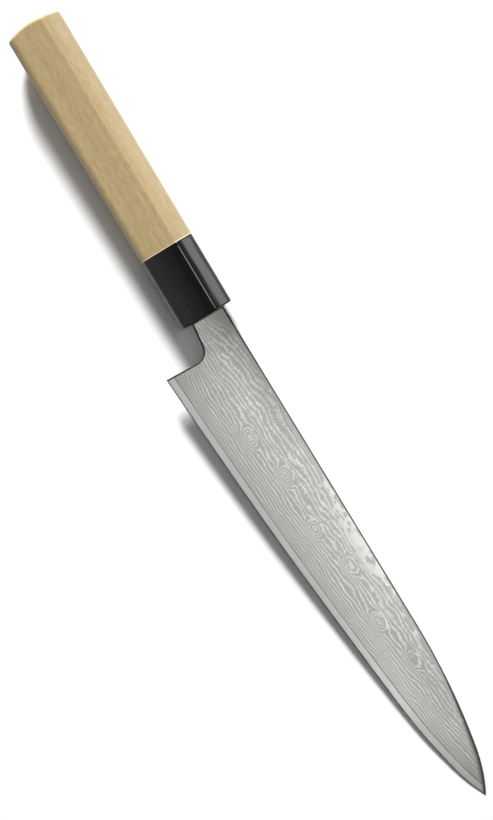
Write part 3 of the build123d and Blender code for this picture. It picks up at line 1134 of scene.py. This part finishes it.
class KNIFE_OT_blade(bpy.types.Operator):
    """Adds the core and both claddings of the blade"""

    bl_idname = "knife.blade"
    bl_label = "Blade"

    def execute(self, context):
        sizes, look = context.scene.knife_blade, context.scene.knife_steel
        shape = BladeShape(sizes)
        tree = bpy.data.node_groups.get("Grinding") or grinding_tree()
        half_core = sizes.core_thickness / 2
        core = core_steel("Core steel", look, sizes)
        right = layered_steel("Layered steel right", look, shape, RIGHT_EYES, RIGHT_SEED)
        left = layered_steel("Layered steel left", look, shape, LEFT_EYES, LEFT_SEED)
        layers = (
            ("blade_core", -half_core, half_core, "core_steel", core),
            ("right_cladding", half_core, sizes.spine_thickness, "layered_steel", right),
            ("left_cladding", -sizes.spine_thickness, -half_core, "layered_steel", left),
        )
        for node, bottom, top, slot, material in layers:
            mesh = grown(
                flat_sheet(shape, node == "blade_core"),
                tree,
                Spine_thickness=sizes.spine_thickness,
                Bevel_width=sizes.bevel_width,
                Bevel_thickness=sizes.bevel_thickness,
                Top_level=shape.top_y,
                Eased_rim=sizes.eased_rim,
                Layer_bottom=bottom,
                Layer_top=top,
                Material=material,
            )
            piece(node + "_ground", tidied(mesh, BLADE_CREASE), node)
        return {"FINISHED"}


def handle_length(handle, name, ends, roundings, material, works, dome=None):
    """A length of the handle, worked with tools of (name, section, back, front, operation)."""
    length_all = handle.grip_length + handle.ferrule_length
    # The sides that swell, by the number of the corner that they start from
    crowns = {2: handle.facet_crown, 3: handle.facet_crown / 3}
    mesh = closed_length(
        name,
        lambda x: handle_corners(handle, 1 + x / length_all),
        ends,
        roundings,
        material,
        crowns,
        dome,
    )
    tool_roundings = (TOOL_ROUNDING, TOOL_ROUNDING)
    for tool_name, corners, back, front, operation in works:
        tool = closed_length(tool_name, lambda x: corners, (back, front), tool_roundings, material)
        mesh = worked(mesh, tool, operation)
    return mesh


class KNIFE_OT_ferrule(bpy.types.Operator):
    """Adds the black ferrule with its socket and its slot"""

    bl_idname = "knife.ferrule"
    bl_label = "Ferrule"

    def execute(self, context):
        handle, blade = context.scene.knife_handle, context.scene.knife_blade
        material = black_resin("Black resin", context.scene.knife_resin)
        tenon_end = handle.tenon_length - handle.ferrule_length
        socket_bottom = tenon_end + handle.tenon_clearance
        gap = 2 * handle.tenon_clearance
        socket = slot_corners(handle.tenon_height + gap, handle.tenon_thickness + gap)
        slot_height = blade.spine_at_neck + blade.neck_depth + 2 * handle.slot_gap
        slot_offset = (blade.spine_at_neck - blade.neck_depth) / 2
        slot = slot_corners(slot_height, handle.slot_width, slot_offset)
        overrun = handle.front_rounding
        works = (
            ("socket", socket, -handle.ferrule_length - overrun, socket_bottom, "DIFFERENCE"),
            ("slot", slot, tenon_end, overrun, "DIFFERENCE"),
        )
        ends = (-handle.ferrule_length, 0)
        roundings = (handle.seam_rounding, handle.front_rounding)
        mesh = handle_length(handle, "ferrule", ends, roundings, material, works)
        piece("ferrule_polished", mesh, "ferrule")
        return {"FINISHED"}


class KNIFE_OT_grip(bpy.types.Operator):
    """Adds the wooden grip with its tenon and bore"""

    bl_idname = "knife.grip"
    bl_label = "Grip"

    def execute(self, context):
        handle, blade = context.scene.knife_handle, context.scene.knife_blade
        material = pale_wood("Pale wood", context.scene.knife_wood)
        tenon_end = handle.tenon_length - handle.ferrule_length
        tenon = slot_corners(handle.tenon_height, handle.tenon_thickness)
        bore = slot_corners(handle.bore_height, handle.bore_width)
        overrun = handle.butt_rounding
        bore_bottom = -blade.tang_length - handle.bore_end_gap
        works = (
            ("tenon", tenon, -handle.ferrule_length - overrun, tenon_end, "UNION"),
            ("bore", bore, bore_bottom, tenon_end + overrun, "DIFFERENCE"),
        )
        ends = (-handle.grip_length - handle.ferrule_length, -handle.ferrule_length)
        roundings = (handle.butt_rounding, handle.seam_rounding)
        dome = (handle.dome_radius, handle.dome_offset)
        mesh = handle_length(handle, "grip", ends, roundings, material, works, dome)
        piece("handle_grip_sanded", mesh, "handle_grip")
        return {"FINISHED"}


class KNIFE_OT_resin(bpy.types.Operator):
    """Gives the seal and the bedding their cast resin"""

    bl_idname = "knife.resin"
    bl_label = "Cast resin"

    def execute(self, context):
        look = context.scene.knife_resin
        for node, name, tint in (
            ("mouth_seal", "Seal resin", look.seal),
            ("tang_bedding", "Bedding resin", look.bedding),
        ):
            mesh = frame["nodes"][node].data
            mesh.materials.clear()
            mesh.materials.append(cast_resin(name, tint))
        return {"FINISHED"}


def heading_way(turn, rise):
    """The direction at this turn from +X and this height above the floor, in degrees."""
    turn, rise = radians(turn), radians(rise)
    return Vector((cos(turn) * cos(rise), sin(turn) * cos(rise), sin(rise)))


def aimed_light(name, size, power, place, aim):
    """A soft area light at a place, turned to shine along its aim."""
    light = bpy.data.lights.new(name, "AREA")
    light.shape = "RECTANGLE"
    light.size, light.size_y = size
    light.energy = power
    made = bpy.data.objects.new(name, light)
    made.location = place
    made.rotation_euler = aim.to_track_quat("-Z", "Y").to_euler()
    made.visible_camera = False
    bpy.context.scene.collection.objects.link(made)


class KNIFE_OT_studio(bpy.types.Operator):
    """Adds the floor, the lights and the camera"""

    bl_idname = "knife.studio"
    bl_label = "Studio"

    def execute(self, context):
        scene, studio = context.scene, context.scene.knife_studio
        knife_middle = Vector((-3 * MM, 1.8 * MM, 8 * MM))
        self.add_floor()
        self.add_lights(studio, knife_middle)
        self.add_room(scene, studio)
        self.add_camera(scene, studio, knife_middle)
        scene.view_settings.view_transform = "Standard"
        return {"FINISHED"}

    def add_floor(self):
        """A wide pale floor just under the knife."""
        half, level = 6.0, -0.05 * MM
        mesh = bpy.data.meshes.new("Floor")
        corners = [(half * x, half * y, level) for x, y in CORNER_SIGNS]
        mesh.from_pydata(corners, [], [(0, 1, 2, 3)])
        pale = (0.83, 0.83, 0.83, 1)
        paint = Shading("Floor paint", Base_Color=pale, Roughness=0.9, Specular_IOR_Level=0.1)
        mesh.materials.append(paint.material)
        floor = bpy.data.objects.new("Floor", mesh)
        bpy.context.scene.collection.objects.link(floor)

    def add_lights(self, studio, knife_middle):
        """Two lights low behind the butt and the spine, and two overhead that the knife mirrors."""
        # Sizes, distances and places are in metres
        ferrule = Vector((-60 * MM, 10 * MM, 18 * MM))
        key_place = knife_middle + 2.6 * heading_way(163, 25.5)
        side_place = ferrule + 1.2 * heading_way(88, 19.5)
        blade_place = Vector((0.33, 0.03, 1.2))
        ridge_place = Vector((-0.031, 0.37, 1.2))
        down = Vector((0, 0, -1))
        lights = (
            ("Key", (0.5, 0.5), studio.key_power, key_place, knife_middle - key_place),
            ("Side", (0.32, 0.36), studio.side_power, side_place, ferrule - side_place),
            ("Over the blade", (0.24, 0.3), studio.blade_power, blade_place, down),
            ("Over the ridge", (0.075, 0.9), studio.ridge_power, ridge_place, down),
        )
        for light in lights:
            aimed_light(*light)

    def add_room(self, scene, studio):
        """White light from all round, weak from above and stronger from low down."""
        world = bpy.data.worlds.new("Studio")
        world.use_nodes = True
        room = Graph(world.node_tree)
        direction = room.parts(room.node("ShaderNodeTexCoord").outputs["Generated"])
        strength = room.ramp(direction[2], 0.5, 0.75, studio.walls, studio.sky)
        room.set(world.node_tree.nodes["Background"], Color=(1, 1, 1, 1), Strength=strength)
        scene.world = world

    def add_camera(self, scene, studio, knife_middle):
        """The camera straight above the knife, turned so that it lies aslant."""
        right = Vector((cos(studio.heading), sin(studio.heading), 0))
        up = Vector((-right.y, right.x, 0))
        camera = bpy.data.objects.new("Camera", bpy.data.cameras.new("Camera"))
        camera.data.lens = studio.lens
        camera.data.sensor_width = 36
        camera.location = knife_middle + Vector((0, 0, studio.camera_height))
        camera.rotation_euler = Matrix((right, up, Vector((0, 0, 1)))).transposed().to_euler()
        scene.collection.objects.link(camera)
        scene.camera = camera


OPERATORS = (KNIFE_OT_blade, KNIFE_OT_ferrule, KNIFE_OT_grip, KNIFE_OT_resin, KNIFE_OT_studio)
SETTINGS = {
    "knife_blade": BladeSizes,
    "knife_handle": HandleSizes,
    "knife_steel": SteelLook,
    "knife_wood": WoodLook,
    "knife_resin": ResinLook,
    "knife_studio": StudioSettings,
}


class KNIFE_PT_panel(bpy.types.Panel):
    """Lists the knife's operators and settings"""

    bl_idname = "KNIFE_PT_panel"
    bl_label = "Slicing Knife"
    bl_space_type = "VIEW_3D"
    bl_region_type = "UI"
    bl_category = "Knife"

    def draw(self, context):
        for operator in OPERATORS:
            self.layout.operator(operator.bl_idname)
        for name, group in SETTINGS.items():
            box = self.layout.box()
            box.label(text=group.__doc__)
            for key in group.__annotations__:
                box.prop(getattr(context.scene, name), key)


def register():
    for name, group in SETTINGS.items():
        bpy.utils.register_class(group)
        setattr(bpy.types.Scene, name, bpy.props.PointerProperty(type=group))
    for entry in (*OPERATORS, KNIFE_PT_panel):
        bpy.utils.register_class(entry)


def unregister():
    for entry in (KNIFE_PT_panel, *reversed(OPERATORS)):
        bpy.utils.unregister_class(entry)
    for name, group in SETTINGS.items():
        delattr(bpy.types.Scene, name)
        bpy.utils.unregister_class(group)


def main():
    """Dresses the knife, step by step."""
    register()
    bpy.ops.knife.blade()
    bpy.ops.knife.ferrule()
    bpy.ops.knife.grip()
    bpy.ops.knife.resin()
    bpy.ops.knife.studio()


if __name__ == "__main__":
    main()
